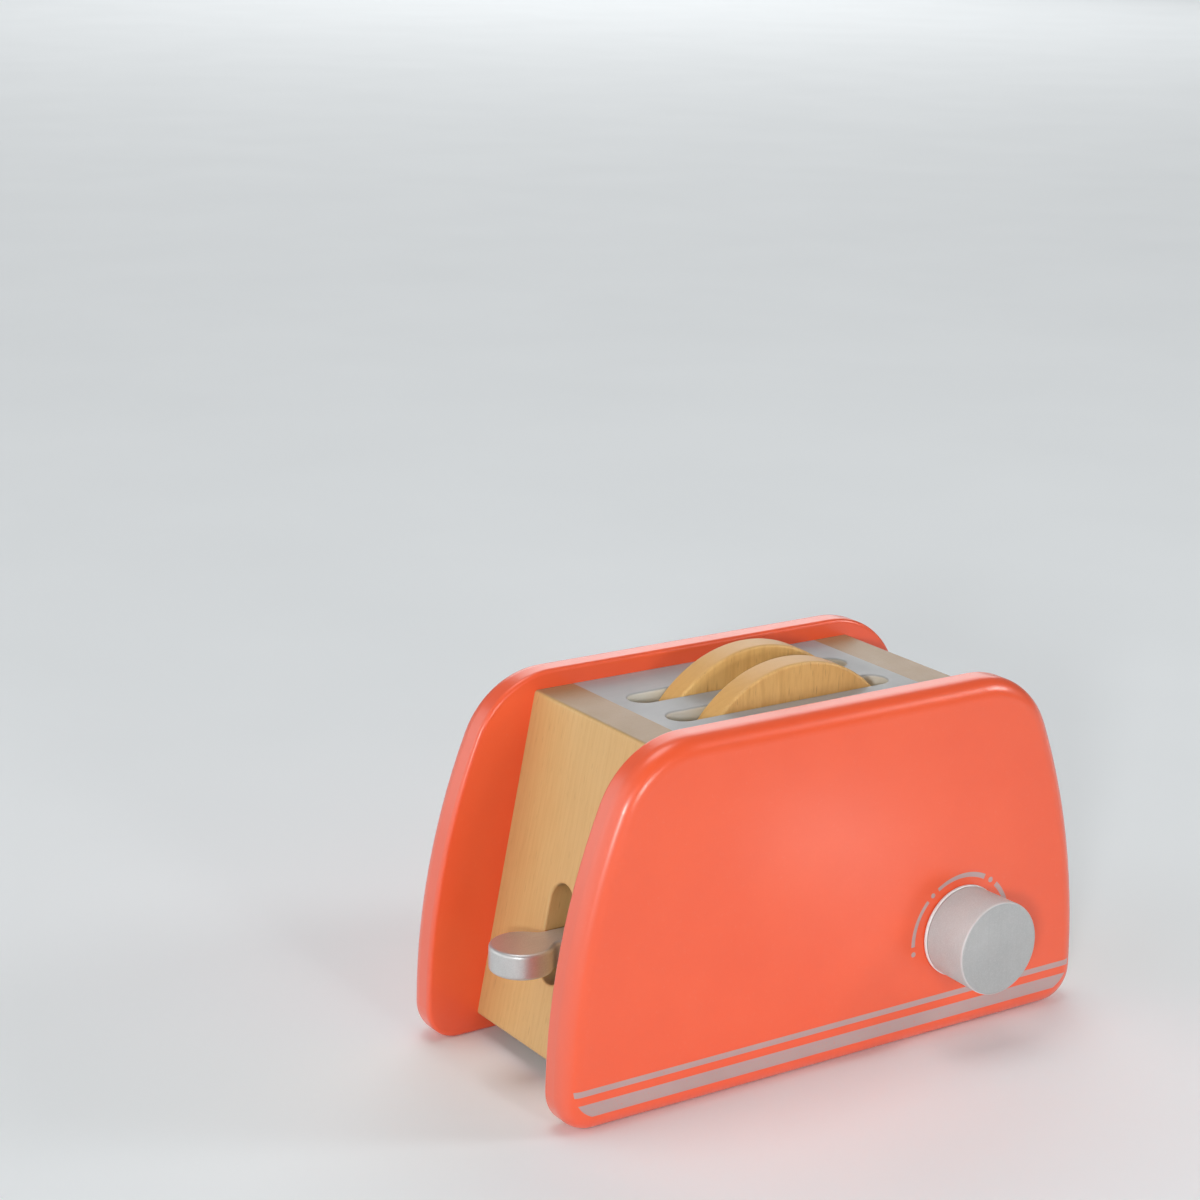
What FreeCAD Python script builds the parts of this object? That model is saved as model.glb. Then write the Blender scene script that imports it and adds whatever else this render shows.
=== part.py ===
import FreeCAD, Part
import math
import os
import re

import Sketcher

# Wooden toy toaster, in millimetres. +X runs from the lever's end to the knob's end, +Y from the
# knob's side to the plain side, +Z up. The origin is the middle of the toaster's footprint, knob
# included, on the surface that the two side panels stand on.

# Driving dimensions: name, value, meaning.
SIZES = [
    ("panel_length", 206.0, "side panel, greatest length"),
    ("panel_height", 120.0, "side panel, foot to top edge"),
    ("panel_thick", 12.0, "side panel, board thickness"),
    ("panel_foot_radius", 12.0, "side panel, bottom corners"),
    ("panel_side_radius", 230.0, "side panel, bowed ends"),
    ("panel_top_radius", 30.5, "side panel, top corners"),
    ("panel_outer_round", 6.2, "side panel, rounding of the outer edge"),
    ("panel_inner_round", 1.5, "side panel, rounding of the inner edge"),
    ("core_width", 69.5, "clear width between the side panels"),
    ("core_top", 114.0, "height of the top plate's upper face"),
    ("core_bottom", 6.0, "height of the end boards' lower edge"),
    ("end_top_reach", 63.5, "middle to an end board's outer face, at its top"),
    ("end_bottom_reach", 84.5, "middle to an end board's outer face, at its bottom"),
    ("end_board_run", 14.5, "end board, thickness measured level"),
    ("end_board_round", 1.4, "end board, rounding of its outer top and bottom edges"),
    ("plate_thick", 8.0, "top plate, thickness"),
    ("toast_slot_length", 86.0, "slot in the top plate, end to end"),
    ("toast_slot_width", 10.2, "slot in the top plate, width"),
    ("toast_slot_round", 0.7, "rounding of the slots' upper rims"),
    ("base_thick", 8.0, "base board, thickness"),
    ("dowel_dia", 6.0, "joint dowels of the boards"),
    ("dowel_board_depth", 12.0, "joint dowels, depth into a board's edge"),
    ("dowel_panel_depth", 7.0, "dowel sockets, depth into a side panel"),
    ("dowel_low_height", 22.0, "lower dowels of an end board, height"),
    ("dowel_high_height", 92.0, "upper dowels of an end board, height"),
    ("base_dowel_pitch", 90.0, "dowels of the base board, distance apart"),
    ("plate_dowel_dia", 4.0, "dowels of the top plate"),
    ("plate_dowel_depth", 10.0, "dowels of the top plate, depth into each board"),
    ("plate_dowel_pitch", 56.0, "dowels of the top plate, distance apart"),
    ("glue_gap", 0.05, "glue film round a fixed dowel"),
    ("end_gap", 0.3, "free space beyond the end of a dowel"),
    ("dowel_chamfer", 0.5, "chamfer at the ends of a dowel, rod or pin"),
    ("lever_slot_low", 29.0, "lever slot, height of its lower end"),
    ("lever_slot_high", 61.0, "lever slot, height of its upper end"),
    ("lever_slot_width", 12.9, "lever slot, width"),
    ("lever_slot_round", 0.8, "rounding of the lever slot's outer rim"),
    ("lever_height", 40.6, "lever's middle and its pivot, height"),
    ("lever_thick", 8.6, "lever, thickness"),
    ("lever_width", 10.5, "lever's arm, width"),
    ("lever_tip", 6.0, "lever's arm, length beyond the lift bar"),
    ("lever_tip_round", 3.0, "lever's arm, corners of its inner end"),
    ("lever_round", 1.3, "rounding of the lever's upper and lower edges"),
    ("paddle_radius", 10.4, "round end of the lever"),
    ("paddle_offset", 18.9, "pivot to the middle of the round end"),
    ("neck_angle", 42.0, "lever's shoulders, angle to the arm, in degrees"),
    ("neck_radius", 4.0, "lever's shoulders, rounding where they meet the arm"),
    ("pin_dia", 4.0, "lever's pivot pin"),
    ("running_gap", 0.08, "radial clearance of a turning or sliding fit"),
    ("lift_bar_dia", 6.0, "lift bar"),
    ("lift_bar_length", 40.0, "lift bar"),
    ("rest_dowel_dia", 8.0, "dowel under the lever's arm"),
    ("rest_dowel_inset", 30.0, "dowel under the lever's arm, distance from the middle"),
    ("rest_gap", 0.2, "round bar to the flat that lies on it"),
    ("shelf_length", 72.0, "toast shelf, length"),
    ("shelf_width", 63.0, "toast shelf, width"),
    ("shelf_thick", 10.0, "toast shelf, thickness"),
    ("shelf_corner", 3.0, "toast shelf, corner rounding"),
    ("groove_depth", 3.0, "grooves in the shelf for the slices' feet"),
    ("notch_depth", 4.0, "channel under the shelf, above the lever's arm"),
    ("notch_width", 14.0, "channel under the shelf, above the lever's arm"),
    ("rod_dia", 6.0, "guide rods"),
    ("rod_pitch", 50.0, "guide rods, distance apart"),
    ("rod_socket_depth", 4.0, "guide rods, depth into the top plate and base board"),
    ("toast_pitch", 21.7, "middle of one slice to the middle of the other"),
    ("toast_shift", 4.0, "middle of the slices, distance from the toaster's middle"),
    ("toast_width", 72.0, "slice, width"),
    ("toast_crown_radius", 43.0, "slice, radius of its crown"),
    ("toast_shoulder_round", 12.0, "slice, rounding where the crown meets the sides"),
    ("toast_thick", 9.2, "slice, thickness"),
    ("toast_crown", 126.0, "slice, height of its crown when down"),
    ("toast_foot_radius", 5.0, "slice, bottom corners"),
    ("toast_round", 1.0, "slice, rounding of its edges"),
    ("toast_side_gap", 0.4, "slice to the wall of its groove"),
    ("knob_inset", 50.1, "knob's axis, distance from the middle"),
    ("knob_height", 36.3, "knob's axis, height"),
    ("knob_length", 18.9, "knob, length"),
    ("knob_rim_dia", 31.1, "knob's rim beside the panel"),
    ("knob_rim_length", 1.0, "knob's rim, length"),
    ("knob_rim_step", 0.3, "knob's rim, step down to the body"),
    ("knob_rim_round", 0.25, "rounding of the knob's rim"),
    ("knob_face_dia", 31.4, "knob's face"),
    ("knob_face_round", 0.9, "rounding of the knob's front edge"),
    ("knob_gap", 0.3, "knob and retainer to the panel"),
    ("axle_dia", 8.0, "knob's dowel"),
    ("axle_knob_depth", 12.0, "knob's dowel, depth into the knob"),
    ("retainer_dia", 20.0, "retainer ring, outside"),
    ("retainer_thick", 5.0, "retainer ring, thickness"),
    ("retainer_chamfer", 0.8, "retainer ring, chamfer"),
    ("cut_overrun", 2.0, "length of a cutting outline past the edge it cuts"),
]

# Places and sizes that follow from the driving dimensions: name, formula.
PLACES = [
    ("middle_y", "(knob_length + knob_gap) / 2"),
    ("front_inner_y", "middle_y - core_width / 2"),
    ("rear_inner_y", "middle_y + core_width / 2"),
    ("front_outer_y", "front_inner_y - panel_thick"),
    ("end_slope", "(end_bottom_reach - end_top_reach) / (core_top - core_bottom)"),
    ("end_inner_reach", "end_top_reach - end_board_run"),
    ("end_middle_reach", "end_top_reach - end_board_run / 2"),
    ("plate_bottom", "core_top - plate_thick"),
    ("plate_middle", "core_top - plate_thick / 2"),
    ("plate_bottom_reach", "end_inner_reach + end_slope * plate_thick"),
    ("plate_middle_reach", "end_inner_reach + end_slope * plate_thick / 2"),
    ("base_top", "core_bottom + base_thick"),
    ("base_middle", "core_bottom + base_thick / 2"),
    ("base_bottom_reach", "end_bottom_reach - end_board_run"),
    ("base_top_reach", "base_bottom_reach - end_slope * base_thick"),
    ("dowel_low_reach", "end_middle_reach + end_slope * (core_top - dowel_low_height)"),
    ("dowel_high_reach", "end_middle_reach + end_slope * (core_top - dowel_high_height)"),
    ("pivot_reach", "end_middle_reach + end_slope * (core_top - lever_height)"),
    ("lift_arm", "pivot_reach + toast_shift"),
    ("shoulder_half_width", "paddle_radius * cos(neck_angle)"),
    ("shoulder_wide_end", "paddle_radius * sin(neck_angle) - paddle_offset"),
    ("shoulder_arm_end", "shoulder_wide_end + (shoulder_half_width - lever_width / 2) / tan(neck_angle)"),
    ("rest_dowel_height", "lever_height - lever_thick / 2 - rest_gap - rest_dowel_dia / 2"),
    ("shelf_bottom", "lever_height + lift_bar_dia / 2 + rest_gap"),
    ("shelf_floor", "shelf_bottom + shelf_thick - groove_depth"),
    ("groove_width", "toast_thick + 2 * toast_side_gap"),
    ("toast_height", "toast_crown - shelf_floor"),
    ("knob_axis_y", "front_outer_y - knob_gap"),
]

SIZE_NAMES = {name for name, _, _ in SIZES}
PLACE_NAMES = {name for name, _ in PLACES}

SAME_PLACE = 1e-3    # mm, coordinates that differ by less are the same
LEAST_CUT = 0.1      # mm3, a cut that removes less has missed

doc = FreeCAD.newDocument("ToyToaster")


# ------------------------------------------------------------------ sheets and formulas
def qualify(formula):
    """Put the sheet's name before each size or place in a formula."""
    def prefix(match):
        word = match.group(0)
        if word in SIZE_NAMES:
            return "Sizes." + word
        if word in PLACE_NAMES:
            return "Places." + word
        return word
    return re.sub(r"[a-z_]+", prefix, formula)


def fill_sheets():
    """Write the driving sizes into one sheet and what follows from them into another."""
    sizes = doc.addObject("Spreadsheet::Sheet", "Sizes")
    for row, (name, value, meaning) in enumerate(SIZES, start=1):
        sizes.set(f"A{row}", name)
        sizes.set(f"B{row}", str(value))
        sizes.set(f"C{row}", meaning)
        sizes.setAlias(f"B{row}", name)
    doc.recompute()
    places = doc.addObject("Spreadsheet::Sheet", "Places")
    for row, (name, formula) in enumerate(PLACES, start=1):
        places.set(f"A{row}", name)
        places.set(f"B{row}", "=" + qualify(formula).replace("Places.", ""))
        places.setAlias(f"B{row}", name)
    doc.recompute()


def number(formula):
    """The present value of a formula, read through a spare cell."""
    workings.set("A1", "=" + qualify(formula))
    workings.recompute()
    return float(workings.get("A1"))


def bind(item, prop, formula):
    item.setExpression(prop, qualify(formula))


# ------------------------------------------------------------------ sketches
def new_body(label, x="0", y="0", z="0"):
    """A body with its label, and its Placement bound to the sheets."""
    body = doc.addObject("PartDesign::Body", label)
    body.Label = label
    for axis, formula in (("x", x), ("y", y), ("z", z)):
        bind(body, f"Placement.Base.{axis}", formula)
    return body


def new_sketch(body, name, plane, offset="0"):
    """A sketch on one of the body's own planes, moved along the plane's normal.

    The normals are +Z for XY_Plane, -Y for XZ_Plane and +X for YZ_Plane.
    """
    sketch = body.newObject("Sketcher::SketchObject", f"{body.Label}_{name}")
    plane_item = next(item for item in body.Origin.OriginFeatures if item.Role == plane)
    sketch.AttachmentSupport = (plane_item, [""])
    sketch.MapMode = "FlatFace"
    bind(sketch, "AttachmentOffset.Base.z", offset)
    return sketch


def vector(x, y):
    return FreeCAD.Vector(x, y, 0)


def constrain(sketch, kind, *args):
    return sketch.addConstraint(Sketcher.Constraint(kind, *args))


def dimension(sketch, kind, *args, formula):
    """A constraint with a value, bound to a formula."""
    index = constrain(sketch, kind, *args, number(formula))
    name = f"{kind}{index}"
    sketch.renameConstraint(index, name)
    bind(sketch, f"Constraints.{name}", formula)


def hold_point(sketch, geometry, end, x=None, y=None):
    """Hold a point of the sketch at signed distances from the sketch's origin."""
    for kind, axis, formula in (("DistanceX", -2, x), ("DistanceY", -1, y)):
        if formula is None:
            continue
        if formula == "0":
            constrain(sketch, "PointOnObject", geometry, end, axis)
        else:
            dimension(sketch, kind, -1, 1, geometry, end, formula=formula)


def draw_polygon(sketch, corners):
    """A closed polygon through corners that are pairs of formulas."""
    points = [vector(number(x), number(y)) for x, y in corners]
    first = sketch.GeometryCount
    count = len(corners)
    for i in range(count):
        sketch.addGeometry(Part.LineSegment(points[i], points[(i + 1) % count]), False)
    for i in range(count):
        constrain(sketch, "Coincident", first + i, 2, first + (i + 1) % count, 1)
        hold_point(sketch, first + i, 1, *corners[i])


def draw_rectangle(sketch, width, height, x="0", y="0"):
    """A rectangle about its middle."""
    corners = []
    for side_x, side_y in (("-", "-"), ("+", "-"), ("+", "+"), ("-", "+")):
        corners.append((f"{x} {side_x} ({width}) / 2", f"{y} {side_y} ({height}) / 2"))
    draw_polygon(sketch, corners)


def draw_circle(sketch, diameter, x="0", y="0"):
    circle = Part.Circle(vector(number(x), number(y)), FreeCAD.Vector(0, 0, 1), number(diameter) / 2)
    ring = sketch.addGeometry(circle, False)
    dimension(sketch, "Diameter", ring, formula=diameter)
    hold_point(sketch, ring, 3, x, y)


def arc(x, y, radius, start, end):
    circle = Part.Circle(vector(x, y), FreeCAD.Vector(0, 0, 1), radius)
    return Part.ArcOfCircle(circle, start, end)


def draw_slot(sketch, length, width, x="0", y="0", upright=False):
    """A slot with round ends about its middle, along the sketch's X axis or its Y axis."""
    radius = number(width) / 2
    half = number(length) / 2 - radius
    turn = math.pi / 2 if upright else 0.0
    along = vector(math.cos(turn), math.sin(turn))
    across = vector(-math.sin(turn), math.cos(turn)) * radius
    middle = vector(number(x), number(y))
    far = middle + along * half
    close = middle - along * half
    quarter = math.pi / 2
    first = sketch.addGeometry(arc(far.x, far.y, radius, turn - quarter, turn + quarter), False)
    sketch.addGeometry(Part.LineSegment(far + across, close + across), False)
    sketch.addGeometry(arc(close.x, close.y, radius, turn + quarter, turn + 3 * quarter), False)
    sketch.addGeometry(Part.LineSegment(close - across, far - across), False)
    for i in range(4):
        constrain(sketch, "Tangent", first + i, 2, first + (i + 1) % 4, 1)
    for side in (first + 1, first + 3):
        constrain(sketch, "Vertical" if upright else "Horizontal", side)
    dimension(sketch, "Diameter", first, formula=width)
    reach = f"(({length}) - ({width})) / 2"
    if upright:
        hold_point(sketch, first, 3, x, f"{y} + {reach}")
        hold_point(sketch, first + 2, 3, None, f"{y} - {reach}")
    else:
        hold_point(sketch, first, 3, f"{x} + {reach}", y)
        hold_point(sketch, first + 2, 3, f"{x} - {reach}", None)


# ------------------------------------------------------------------ features
def pad(body, sketch, length, towards=1, middle=False):
    """Extrude along the sketch's normal, against it (towards=-1) or half each way."""
    feature = body.newObject("PartDesign::Pad", f"{sketch.Name}_pad")
    feature.Profile = sketch
    feature.SideType = "Symmetric" if middle else "One side"
    feature.Reversed = towards < 0
    bind(feature, "Length", length)
    doc.recompute()
    return feature


def cut(body, sketch, towards=1, both_ways=False):
    """Cut right through along the sketch's normal, against it (towards=-1) or both ways."""
    before = body.Shape.Volume
    feature = body.newObject("PartDesign::Pocket", f"{sketch.Name}_cut")
    feature.Profile = sketch
    feature.SideType = "Symmetric" if both_ways else "One side"
    feature.Type = "ThroughAll"
    feature.Reversed = towards > 0
    doc.recompute()
    if body.Shape.Volume > before - LEAST_CUT:
        raise RuntimeError(f"{sketch.Name} cuts nothing")
    return feature


def on_edges(body, kind, size_property, formula, chosen):
    """A fillet or a chamfer on the edges of the body that the test picks."""
    base = body.Tip
    names = [f"Edge{i}" for i, edge in enumerate(base.Shape.Edges, start=1) if chosen(edge)]
    if not names:
        raise RuntimeError(f"{body.Label} has no edge to round for {formula}")
    feature = body.newObject(f"PartDesign::{kind}", f"{body.Label}_{kind}{len(body.Group)}")
    feature.Base = (base, names)
    bind(feature, size_property, formula)
    doc.recompute()
    return feature


def round_edges(body, radius, chosen):
    return on_edges(body, "Fillet", "Radius", radius, chosen)


def chamfer_edges(body, size, chosen):
    return on_edges(body, "Chamfer", "Size", size, chosen)


def near(a, b):
    return abs(a - b) < SAME_PLACE


def lies_at(edge, x=None, y=None, z=None):
    """True where the whole edge lies at the given coordinates."""
    box = edge.BoundBox
    spans = ((x, box.XMin, box.XMax), (y, box.YMin, box.YMax), (z, box.ZMin, box.ZMax))
    return all(at is None or (near(low, at) and near(high, at)) for at, low, high in spans)


# ------------------------------------------------------------------ side panels
def draw_half_panel(sketch):
    """Right half of a panel: foot, foot corner, bowed end, top corner, top, middle line."""
    half, height = number("panel_length / 2"), number("panel_height")
    foot, side, top = (number(f"panel_{name}_radius") for name in ("foot", "side", "top"))
    side_x = half - side
    top_z = height - top
    top_x = side_x + math.sqrt((side - top) ** 2 - (top_z - foot) ** 2)
    turn = math.atan2(top_z - foot, top_x - side_x)
    quarter = math.pi / 2
    sketch.addGeometry([
        Part.LineSegment(vector(0, 0), vector(half - foot, 0)),
        arc(half - foot, foot, foot, -quarter, 0),
        arc(side_x, foot, side, 0, turn),
        arc(top_x, top_z, top, turn, quarter),
        Part.LineSegment(vector(top_x, height), vector(0, height)),
        Part.LineSegment(vector(0, height), vector(0, 0)),
    ], False)
    foot_line, foot_arc, side_arc, top_arc, top_line, middle_line = range(6)
    for a, b in ((foot_line, foot_arc), (foot_arc, side_arc), (side_arc, top_arc), (top_arc, top_line)):
        constrain(sketch, "Tangent", a, 2, b, 1)
    constrain(sketch, "Coincident", top_line, 2, middle_line, 1)
    constrain(sketch, "Coincident", middle_line, 2, foot_line, 1)
    constrain(sketch, "Coincident", foot_line, 1, -1, 1)
    constrain(sketch, "Horizontal", foot_line)
    constrain(sketch, "Horizontal", top_line)
    constrain(sketch, "Vertical", middle_line)
    constrain(sketch, "Horizontal", foot_arc, 3, side_arc, 3)
    dimension(sketch, "Radius", foot_arc, formula="panel_foot_radius")
    dimension(sketch, "Radius", side_arc, formula="panel_side_radius")
    dimension(sketch, "Radius", top_arc, formula="panel_top_radius")
    hold_point(sketch, top_line, 2, None, "panel_height")
    hold_point(sketch, foot_arc, 2, "panel_length / 2", None)


def side_panel(label, inner_y, outward):
    """A panel with its inner face at y = 0. outward is 1 towards -Y and -1 towards +Y."""
    body = new_body(label, y=inner_y)
    outline = new_sketch(body, "outline", "XZ_Plane")
    draw_half_panel(outline)
    half = pad(body, outline, "panel_thick", outward)
    whole = body.newObject("PartDesign::Mirrored", f"{label}_mirrored")
    whole.Originals = [half]
    whole.MirrorPlane = (next(p for p in body.Origin.OriginFeatures if p.Role == "YZ_Plane"), [""])
    body.Tip = whole
    doc.recompute()
    outer_y = -outward * number("panel_thick")
    round_edges(body, "panel_outer_round", lambda edge: lies_at(edge, y=outer_y))
    round_edges(body, "panel_inner_round", lambda edge: lies_at(edge, y=0))

    sockets = new_sketch(body, "sockets", "XZ_Plane", f"{outward} * dowel_panel_depth")
    for side in ("-1", "1"):
        draw_circle(sockets, "dowel_dia + 2 * glue_gap", f"{side} * dowel_low_reach", "dowel_low_height")
        draw_circle(sockets, "dowel_dia + 2 * glue_gap", f"{side} * dowel_high_reach", "dowel_high_height")
        draw_circle(sockets, "dowel_dia + 2 * glue_gap", f"{side} * base_dowel_pitch / 2", "base_middle")
    draw_circle(sockets, "rest_dowel_dia + 2 * glue_gap", "-rest_dowel_inset", "rest_dowel_height")
    cut(body, sockets, -outward)
    return body


def front_panel():
    body = side_panel("front_panel", "front_inner_y", 1)
    bore = new_sketch(body, "axle_bore", "XZ_Plane")
    draw_circle(bore, "axle_dia + 2 * running_gap", "knob_inset", "knob_height")
    cut(body, bore, 1)
    return body


# ------------------------------------------------------------------ boards between the panels
def end_board(label, side):
    """A slanted end board. side is -1 at the lever's end and 1 at the other."""
    body = new_body(label, y="middle_y")
    outline = new_sketch(body, "outline", "XZ_Plane")
    draw_polygon(outline, [
        (f"{side} * end_top_reach", "core_top"),
        (f"{side} * end_inner_reach", "core_top"),
        (f"{side} * base_bottom_reach", "core_bottom"),
        (f"{side} * end_bottom_reach", "core_bottom"),
    ])
    pad(body, outline, "core_width", middle=True)
    top_x, bottom_x = (side * number(name) for name in ("end_top_reach", "end_bottom_reach"))
    top_z, bottom_z = number("core_top"), number("core_bottom")
    round_edges(body, "end_board_round", lambda edge: lies_at(edge, x=top_x, z=top_z)
                or lies_at(edge, x=bottom_x, z=bottom_z))
    for face in (1, -1):
        holes = new_sketch(body, f"dowel_holes_{'front' if face > 0 else 'rear'}", "XZ_Plane",
                           f"{face} * (core_width / 2 - dowel_board_depth)")
        for level in ("low", "high"):
            draw_circle(holes, "dowel_dia + 2 * glue_gap", f"{side} * dowel_{level}_reach",
                        f"dowel_{level}_height")
        cut(body, holes, face)
    plate_holes = new_sketch(body, "plate_dowel_holes", "YZ_Plane",
                             f"{side} * (plate_middle_reach + plate_dowel_depth)")
    for across in ("-", ""):
        draw_circle(plate_holes, "plate_dowel_dia + 2 * glue_gap", f"{across}plate_dowel_pitch / 2",
                    "plate_middle")
    cut(body, plate_holes, -side)
    return body


def lever_end_board():
    body = end_board("lever_end_board", -1)
    slot = new_sketch(body, "lever_slot", "YZ_Plane")
    draw_slot(slot, "lever_slot_high - lever_slot_low", "lever_slot_width",
              "0", "(lever_slot_high + lever_slot_low) / 2", upright=True)
    cut(body, slot, -1)
    slope, top_reach, top_z = number("end_slope"), number("end_top_reach"), number("core_top")
    half_slot = number("lever_slot_width / 2")

    def on_outer_rim(edge):
        points = [edge.valueAt(edge.FirstParameter + share * (edge.LastParameter - edge.FirstParameter))
                  for share in (0.0, 0.5, 1.0)]
        on_face = all(near(point.x, -top_reach - slope * (top_z - point.z)) for point in points)
        return on_face and all(abs(point.y) < half_slot + SAME_PLACE for point in points)

    round_edges(body, "lever_slot_round", on_outer_rim)
    bore = new_sketch(body, "pin_bore", "XZ_Plane")
    draw_circle(bore, "pin_dia + 2 * glue_gap", "-pivot_reach", "lever_height")
    cut(body, bore, both_ways=True)
    return body


def top_plate():
    body = new_body("top_plate", y="middle_y")
    outline = new_sketch(body, "outline", "XZ_Plane")
    draw_polygon(outline, [
        ("-end_inner_reach", "core_top"),
        ("end_inner_reach", "core_top"),
        ("plate_bottom_reach", "plate_bottom"),
        ("-plate_bottom_reach", "plate_bottom"),
    ])
    pad(body, outline, "core_width", middle=True)
    slots = new_sketch(body, "toast_slots", "XY_Plane")
    for across in ("-", ""):
        draw_slot(slots, "toast_slot_length", "toast_slot_width", "0", f"{across}toast_pitch / 2")
    cut(body, slots, 1)
    top_z, reach, half = number("core_top"), number("end_inner_reach"), number("core_width / 2")

    def on_slot_rim(edge):
        box = edge.BoundBox
        inside_x = max(abs(box.XMin), abs(box.XMax)) < reach - SAME_PLACE
        inside_y = max(abs(box.YMin), abs(box.YMax)) < half - SAME_PLACE
        return lies_at(edge, z=top_z) and inside_x and inside_y

    round_edges(body, "toast_slot_round", on_slot_rim)
    rods = new_sketch(body, "rod_sockets", "XY_Plane", "plate_bottom + rod_socket_depth")
    for across in ("-", ""):
        draw_circle(rods, "rod_dia + 2 * glue_gap", "toast_shift", f"{across}rod_pitch / 2")
    cut(body, rods, -1)
    for side in (-1, 1):
        holes = new_sketch(body, f"dowel_holes_{'lever' if side < 0 else 'plain'}", "YZ_Plane",
                           f"{side} * (plate_middle_reach - plate_dowel_depth)")
        for across in ("-", ""):
            draw_circle(holes, "plate_dowel_dia + 2 * glue_gap", f"{across}plate_dowel_pitch / 2",
                        "plate_middle")
        cut(body, holes, side)
    return body


def base_board():
    body = new_body("base_board", y="middle_y")
    outline = new_sketch(body, "outline", "XZ_Plane")
    draw_polygon(outline, [
        ("-base_bottom_reach", "core_bottom"),
        ("base_bottom_reach", "core_bottom"),
        ("base_top_reach", "base_top"),
        ("-base_top_reach", "base_top"),
    ])
    pad(body, outline, "core_width", middle=True)
    rods = new_sketch(body, "rod_sockets", "XY_Plane", "base_top - rod_socket_depth")
    for across in ("-", ""):
        draw_circle(rods, "rod_dia + 2 * glue_gap", "toast_shift", f"{across}rod_pitch / 2")
    cut(body, rods, 1)
    for face in (1, -1):
        holes = new_sketch(body, f"dowel_holes_{'front' if face > 0 else 'rear'}", "XZ_Plane",
                           f"{face} * (core_width / 2 - dowel_board_depth)")
        for side in ("-", ""):
            draw_circle(holes, "dowel_dia + 2 * glue_gap", f"{side}base_dowel_pitch / 2", "base_middle")
        cut(body, holes, face)
    return body


# ------------------------------------------------------------------ dowels, rods and pins
def rod(label, plane, diameter, length, x, y, z, middle=True):
    """A round bar with chamfered ends, square to the plane that its section lies in.

    The place given is the bar's middle, or with middle=False its lower end.
    """
    body = new_body(label, x, y, z)
    section = new_sketch(body, "section", plane)
    draw_circle(section, diameter)
    pad(body, section, length, middle=middle)
    chamfer_edges(body, "dowel_chamfer", lambda edge: isinstance(edge.Curve, Part.Circle))
    return body


def dowel_group(label, plane, diameter, length, places):
    """Equal dowels in one node."""
    dowels = [rod(f"{label}_{i}", plane, diameter, length, *place) for i, place in enumerate(places, start=1)]
    group = doc.addObject("Part::Compound", label)
    group.Label = label
    group.Links = dowels
    doc.recompute()
    return group


def panel_dowel_places(reaches_and_heights):
    """Middles of the dowels that join a board's two side edges to the panels."""
    past_edge = "(dowel_board_depth - dowel_panel_depth) / 2"
    return [(f"{side} * {reach}", f"{inner_y} {inwards} {past_edge}", height)
            for side in ("-1", "1")
            for reach, height in reaches_and_heights
            for inner_y, inwards in (("front_inner_y", "+"), ("rear_inner_y", "-"))]


def end_board_dowels():
    places = panel_dowel_places([
        ("dowel_low_reach", "dowel_low_height"),
        ("dowel_high_reach", "dowel_high_height"),
    ])
    return dowel_group("end_board_dowels", "XZ_Plane", "dowel_dia",
                       "dowel_board_depth + dowel_panel_depth - 2 * end_gap", places)


def base_board_dowels():
    places = panel_dowel_places([("base_dowel_pitch / 2", "base_middle")])
    return dowel_group("base_board_dowels", "XZ_Plane", "dowel_dia",
                       "dowel_board_depth + dowel_panel_depth - 2 * end_gap", places)


def top_plate_dowels():
    places = [(f"{side} * plate_middle_reach", f"middle_y {across} plate_dowel_pitch / 2", "plate_middle")
              for side in ("-1", "1") for across in ("-", "+")]
    return dowel_group("top_plate_dowels", "YZ_Plane", "plate_dowel_dia",
                       "2 * (plate_dowel_depth - end_gap)", places)


def lever_pivot_pin():
    return rod("lever_pivot_pin", "XZ_Plane", "pin_dia", "core_width - 2 * end_gap",
               "-pivot_reach", "middle_y", "lever_height")


def lift_bar():
    return rod("lift_bar", "XZ_Plane", "lift_bar_dia", "lift_bar_length",
               "toast_shift", "middle_y", "lever_height")


def rest_dowel():
    return rod("rest_dowel", "XZ_Plane", "rest_dowel_dia", "core_width + 2 * (dowel_panel_depth - end_gap)",
               "-rest_dowel_inset", "middle_y", "rest_dowel_height")


def guide_rod(label, across):
    return rod(label, "XY_Plane", "rod_dia", "plate_bottom - base_top + 2 * (rod_socket_depth - end_gap)",
               "toast_shift", f"middle_y {across} rod_pitch / 2", "base_top - rod_socket_depth + end_gap",
               middle=False)


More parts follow.
